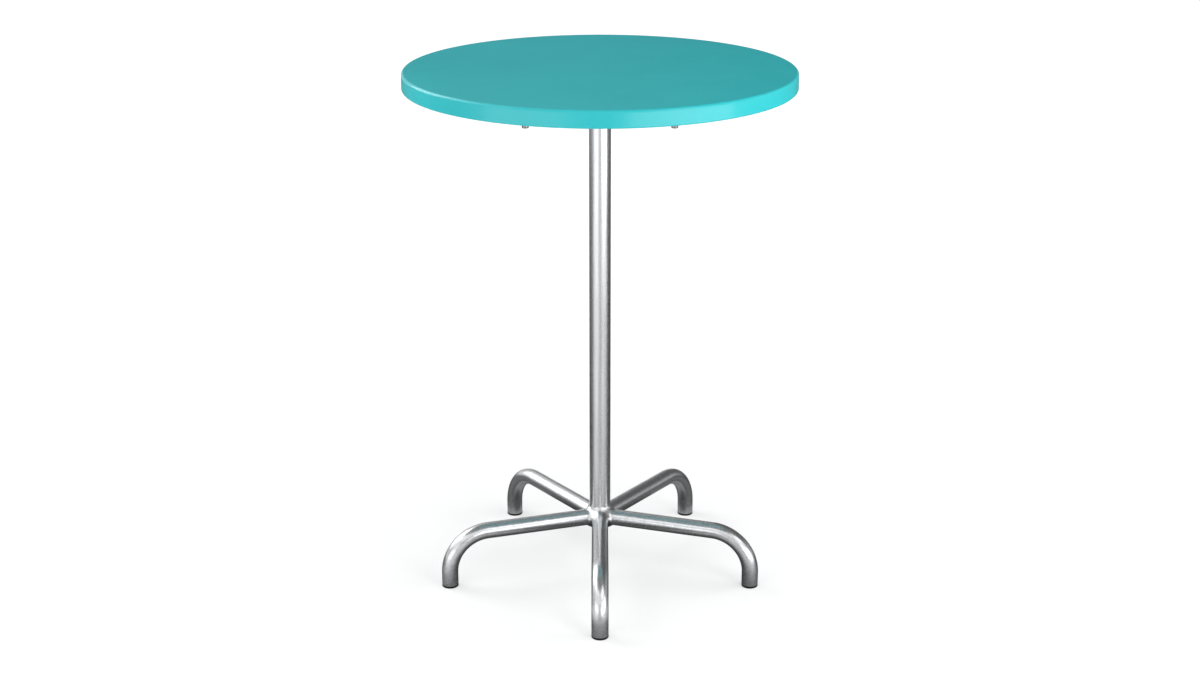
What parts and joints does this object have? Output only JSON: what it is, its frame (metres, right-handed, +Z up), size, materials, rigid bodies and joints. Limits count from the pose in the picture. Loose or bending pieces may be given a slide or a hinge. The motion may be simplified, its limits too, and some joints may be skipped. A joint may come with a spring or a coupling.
{
  "type": "folding standing table",
  "caption": "Round standing table with a moulded turquoise top that tilts upright on a galvanised tube column with bent, welded legs.",
  "frame": {"origin": "floor point under the column's axis", "axes": "+Z up along the column; -Y is the front, where one leg points; +X is to the right of someone facing the front"},
  "size_m": [0.7999, 0.7998, 1.1],
  "materials": {
    "gel_coat": "smooth semi-gloss turquoise glass-fibre moulding",
    "galvanised_tube": "bright galvanised tube",
    "galvanised_plate": "galvanised plate and section",
    "weld": "galvanised weld",
    "zinc_fastener": "bright zinc plate",
    "insert_brass": "machined",
    "glide_plastic": "black moulded",
    "friction_fibre": "dull fibre"
  },
  "bodies": {
    "pedestal": {"column_tube": "galvanised_tube", "hub_weld": "weld", "leg_front": "galvanised_tube", "leg_front_right": "galvanised_tube", "leg_rear_right": "galvanised_tube", "leg_rear_left": "galvanised_tube", "leg_front_left": "galvanised_tube", "foot_glide_front": "glide_plastic", "foot_glide_front_right": "glide_plastic", "foot_glide_rear_right": "glide_plastic", "foot_glide_rear_left": "glide_plastic", "foot_glide_front_left": "glide_plastic", "head_base_plate": "galvanised_plate", "head_cheek_left": "galvanised_plate", "head_cheek_right": "galvanised_plate", "head_weld": "weld", "friction_pad_left": "friction_fibre", "friction_pad_right": "friction_fibre", "hinge_bolt": "zinc_fastener", "hinge_nut": "zinc_fastener", "hinge_washers": "zinc_fastener", "hinge_spacer": "zinc_fastener", "clamp_bolt": "zinc_fastener", "clamp_washers": "zinc_fastener", "clamp_spacer": "zinc_fastener"},
    "top": {"table_top": "gel_coat", "threaded_inserts": "insert_brass", "rail_left": "galvanised_plate", "rail_right": "galvanised_plate", "rail_end_caps": "glide_plastic", "rail_screws": "zinc_fastener", "rail_washers": "zinc_fastener", "hinge_channel": "galvanised_plate", "quadrant_left": "galvanised_plate", "quadrant_right": "galvanised_plate", "frame_welds": "weld"},
    "lever": {"clamp_lever": "zinc_fastener", "lever_grip": "glide_plastic"}
  },
  "joints": [
    {"name": "top_tilt", "type": "hinge", "parent": "pedestal", "child": "top", "pos_m": [0, 0, 1.024], "axis": [-1, 0, 0], "range_deg": [0, 90]},
    {"name": "lever_clamp", "type": "hinge", "parent": "pedestal", "child": "lever", "pos_m": [0, 0.02828, 1.05228], "axis": [1, 0, 0], "range_deg": [0, 60]}
  ]
}
